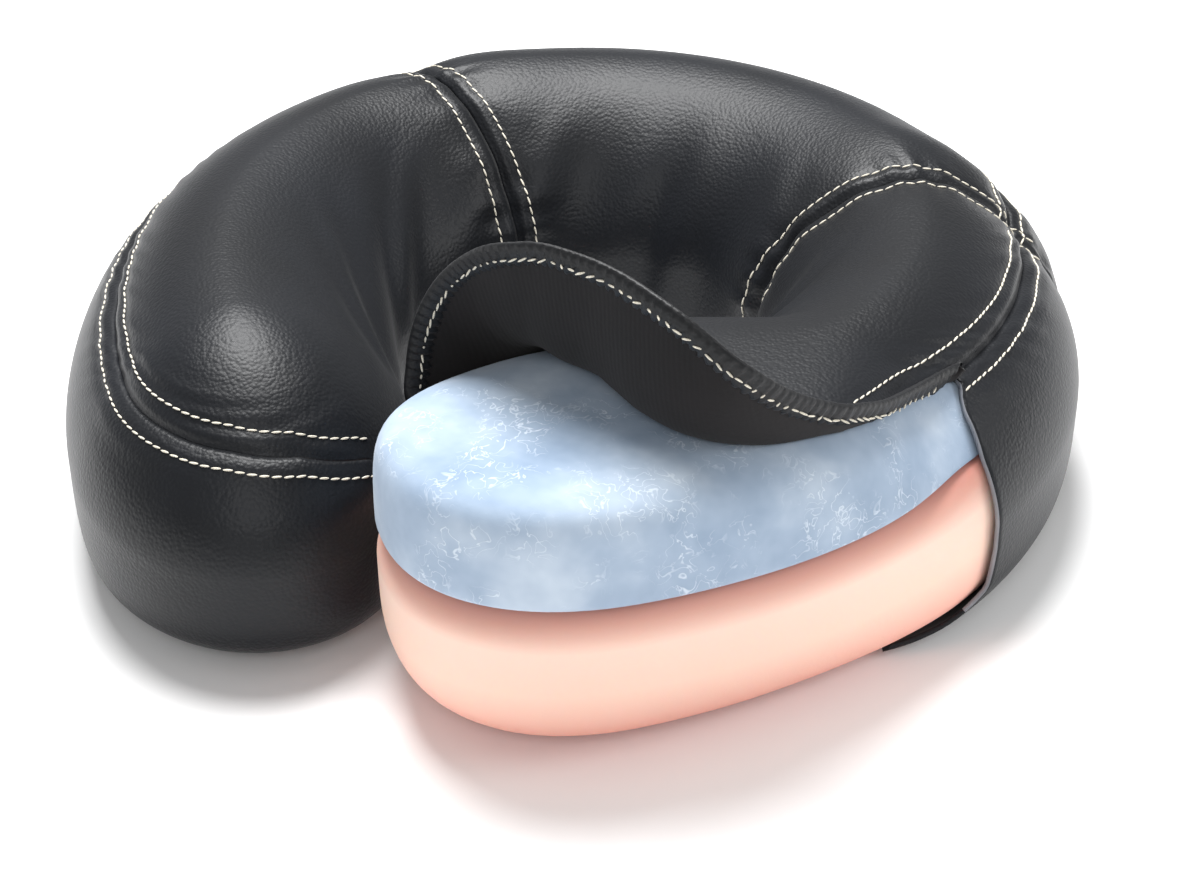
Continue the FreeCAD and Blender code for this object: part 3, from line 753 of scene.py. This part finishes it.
hem = moulded("leather_hem", [(420, 20, hem_band)])
dressed(hem, "cover_leather", HEM_LEATHER)


# --- Underside cloth --------------------------------------------------------------------------------

CLOTH_END = 0.775


def under_arm(x, y):
    share = -1 + (1 + CLOTH_END) * x
    centre, out, _ = centre_line(share)
    u = section(np.full_like(x, HEM_OF_COVER))[0] - 0.4
    tucked = 7 * ease((share - 0.66) / 0.06)
    reach = (2 * y - 1) * u - tucked * np.maximum(2 * y - 1, 0)
    plan = centre + out * reach[..., None]
    return np.concatenate([plan, np.full_like(x, 0.5)[..., None]], -1)


def under_tip(x, y):
    turn = math.pi * x
    centre, out, on = centre_line(np.full_like(x, -1))
    u = (section(np.full_like(x, HEM_OF_COVER))[0] - 0.4) * y
    way = out * np.cos(turn)[..., None] + on * (TIP_REACH * np.sin(turn))[..., None]
    plan = centre + way * u[..., None]
    return np.concatenate([plan, np.full_like(x, 0.5)[..., None]], -1)


underside = moulded("underside_cloth", [(200, 24, under_arm), (48, 12, under_tip)], down)
dressed(underside, "underside_cloth", UNDER_CLOTH)
thickened(underside, 1.1)
for side in ("left", "crown", "right"):
    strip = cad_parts["loop_strip_" + side]
    strip.data.materials.clear()
    strip.data.materials.append(LOOP_TAPE)


# --- Seam tapes behind the leather --------------------------------------------------------------------

TAPE_SINK, TAPE_HALF = 1.6, 0.14        # depth in millimetres, half width in girth share
CROSS_TAPE_WIDTH = 0.075                # in shares of the half line


def cross_tape(side):
    """The placing of the tape behind the left (-1) or right (1) cross seam."""
    def place(x, y):
        girth = 0.40 - 1.6 * y
        share = cross_share(girth) + (x - 0.5) * CROSS_TAPE_WIDTH
        return onto_arm(side * share, girth, TAPE_SINK)
    return place


def outer_tape(x, y):
    share = -1 + 1.64 * x
    girth = outer_seam(share) + TAPE_HALF * (2 * y - 1)
    return onto_arm(share, girth, TAPE_SINK)


tapes = {
    "seam_backing_left": moulded("seam_tape_left", [(14, 90, cross_tape(-1))], up),
    "seam_backing_right": moulded("seam_tape_right", [(14, 90, cross_tape(1))], up),
    "seam_backing_outer": moulded("seam_tape_outer", [(260, 14, outer_tape)], outward),
}
for tape in tapes.values():
    dressed(tape, "backing_tape", TAPE)
    thickened(tape, 0.5)


# --- Topstitching -----------------------------------------------------------------------------------

STITCH, PITCH, THREAD_WIDTH = 2.8, 3.2, 0.62
STITCH_RISE = 0.14         # the middle of the thread above the leather
SLANT = math.radians(7)
ROW_GIRTH = ROW_STEP / GIRTH
ROW_SHARE = ROW_STEP / HALF_LINE
CLEAR = 0.012              # a row stops this share short of a cross seam


def row_points(place, start, end):
    """A dense line of points; place maps a number between start and end onto the cushion."""
    return place(np.linspace(start, end, 600))


def stitched(name, node, line, leathers):
    """Separate stitches along a line, laid on the nearest leather."""
    depsgraph = bpy.context.evaluated_depsgraph_get()
    grounds = [BVHTree.FromObject(leather, depsgraph) for leather in leathers]
    run = np.r_[0, np.cumsum(np.linalg.norm(np.diff(line, axis=0), axis=1))]
    count = int(run[-1] // PITCH)
    middles = (np.arange(count) + 0.5) * run[-1] / count

    def at(distance):
        return Vector([np.interp(distance, run, line[:, k]) * MM for k in range(3)])

    size = Matrix.Diagonal((STITCH / 2 * MM, THREAD_WIDTH / 2 * MM, THREAD_WIDTH / 2 * MM, 1))
    bead = size @ Matrix.Rotation(math.pi / 2, 4, "Y")
    bm = bmesh.new()
    for number, middle in enumerate(middles):
        ahead = at(middle + STITCH / 2) - at(middle - STITCH / 2)
        spot = at(middle)
        found = min((ground.find_nearest(spot) for ground in grounds), key=lambda hit: hit[3])
        normal = found[1].copy()
        along = (ahead - ahead.dot(normal) * normal).normalized()
        across = normal.cross(along)
        along, across = (along * math.cos(SLANT) + across * math.sin(SLANT),
                         across * math.cos(SLANT) - along * math.sin(SLANT))
        turn = Matrix((along, across, normal)).transposed().to_4x4()
        rise = STITCH_RISE + 0.04 * math.sin(number * 1.7)
        lie = Matrix.Translation(found[0] + normal * rise * MM) @ turn @ bead
        bmesh.ops.create_uvsphere(bm, u_segments=8, v_segments=6, radius=1.0, matrix=lie)
    piece = finished(bm, name)
    dressed(piece, "thread", THREAD)
    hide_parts(node)
    return piece


def beside_outer_seam(step):
    """Placings of the row a step below (or above) the outer seam: round the left tip, and elsewhere."""
    def arm(share):
        return onto_arm(share, outer_seam(share) + step)

    def left(k):
        turn = np.clip(k - 1, 0, None)
        round_tip = onto_tip(-1, turn, tip_seam(turn) + step)
        along_arm = onto_arm(-np.minimum(k, 1), np.full_like(k, OUTER_SEAM + step))
        return np.where((k > 1)[:, None], round_tip, along_arm)

    return left, arm


def beside_cross_seam(side, way):
    """The placing of the row beside a cross seam, towards the arm (way 1) or the crown (-1)."""
    def place(girth):
        u, _ = section(np.minimum(np.abs(girth), 1))
        stretch = 1 + np.sign(girth) * u / CROWN_BEND
        return onto_arm(side * (cross_share(girth) + way * ROW_SHARE / stretch), girth)
    return place


def opened(share):
    """The upper row on the opened arm nears the flap's edge as the flap begins."""
    girth = np.interp(share, (0.40, 0.45, 0.55, 0.63, 0.70, 0.80),
                      (0.43, 0.398, 0.366, 0.34, 0.324, 0.27))
    return onto_arm(share, girth, 0.0, fullness_at(share))


top_all = [panels[n] for n in ("top_panel_left", "top_panel_crown", "top_panel_right")]
side_all = [panels[n] for n in ("side_panel_left", "side_panel_crown", "side_panel_right")]
round_left_tip, above_seam = beside_outer_seam(-ROW_GIRTH)
below_left_tip, below_seam = beside_outer_seam(ROW_GIRTH * 0.8)
rows = []
for level, left, crown, right, right_end, leathers in (
        ("upper", round_left_tip, above_seam, opened, 0.80, top_all),
        ("lower", below_left_tip, below_seam, below_seam, 0.672, side_all)):
    for part, place, start, end in (("left", left, CROSS_OUT + CLEAR, 1 + WRAP_START + 0.05),
                                    ("crown", crown, -CROSS_OUT + CLEAR, CROSS_OUT - CLEAR),
                                    ("right", right, CROSS_OUT + CLEAR, right_end)):
        rows.append(stitched("stitches_%s_%s" % (level, part), "stitch_%s_row_%s" % (level, part),
                             row_points(place, start, end), leathers))
for side, word in ((-1, "left"), (1, "right")):
    for way, part in ((1, "arm"), (-1, "crown")):
        rows.append(stitched("stitches_cross_%s_%s" % (word, part), "stitch_cross_row_%s_%s" % (word, part),
                             row_points(beside_cross_seam(side, way), 0.62, -1.45), top_all + side_all))

hem_row_line = HEM_EDGE + HEM_INTO * 3.2 + HEM_OUT * (HEM_SIDE * 2.6)
inward = (HEM_RUN > 12) & (HEM_RUN < HEM_RUN[-1] - 12)
hem_stitches = stitched("stitches_hem", "stitch_flap_row", hem_row_line[inward], [hem])


# --- Bodies, and the model's own parts hidden ---------------------------------------------------------

for piece in (flap_panel, hem, hem_stitches):
    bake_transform(piece)
for piece in [panel for panel in panels.values() if panel is not flap_panel] + rows + [underside]:
    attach(piece, "cushion")
for tape in tapes.values():
    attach(tape, "cushion")
for node, piece in list(panels.items()) + list(tapes.items()):
    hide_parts(node)
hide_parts("flap_panel")
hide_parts("flap_hem")
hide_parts("bottom_cloth_panel")


# --- Floor, light and camera ----------------------------------------------------------------------------

floor_bm = bmesh.new()
bmesh.ops.create_grid(floor_bm, x_segments=2, y_segments=2, size=4.0)
floor = finished(floor_bm, "floor", up)
floor.data.transform(Matrix.Translation((0, 0, -0.0004)))
floor_material, floor_tree, floor_shader, _ = finish_named("painted_board_white", Roughness=0.9,
                                                           Specular_IOR_Level=0.1)
floor_shader.inputs["Base Color"].default_value = linear("#fbfbfb")
floor.data.materials.append(floor_material)


def soft_light(name, place, target, size, power, colour="#ffffff"):
    data = bpy.data.lights.new(name, "AREA")
    data.shape, data.size, data.energy = "DISK", size, power
    data.color = linear(colour)[:3]
    lamp = bpy.data.objects.new(name, data)
    lamp.location = place
    lamp.rotation_euler = (Vector(target) - Vector(place)).to_track_quat("-Z", "Y").to_euler()
    bpy.context.scene.collection.objects.link(lamp)


soft_light("key", (-0.22, 0.22, 0.95), (0, 0, 0.05), 0.6, 19.0)
soft_light("front", (0.5, -1.2, 0.9), (0, 0, 0.05), 0.8, 5.0)
soft_light("right", (1.1, 0.3, 0.7), (0, 0, 0.05), 0.6, 4.0)

world = bpy.data.worlds.new("studio")
world.use_nodes = True
world.node_tree.nodes["Background"].inputs["Color"].default_value = linear("#ffffff")
world.node_tree.nodes["Background"].inputs["Strength"].default_value = 0.38
bpy.context.scene.world = world
bpy.context.scene.view_settings.view_transform = "Standard"

camera_data = bpy.data.cameras.new("camera")
camera_data.lens, camera_data.sensor_width = 71.76, 36.0
camera = bpy.data.objects.new("camera", camera_data)
camera.location = (0.2851, -0.5592, 0.4043)
camera.rotation_euler = Vector((0.374, -0.753, 0.541)).to_track_quat("Z", "Y").to_euler()
bpy.context.scene.collection.objects.link(camera)
bpy.context.scene.camera = camera
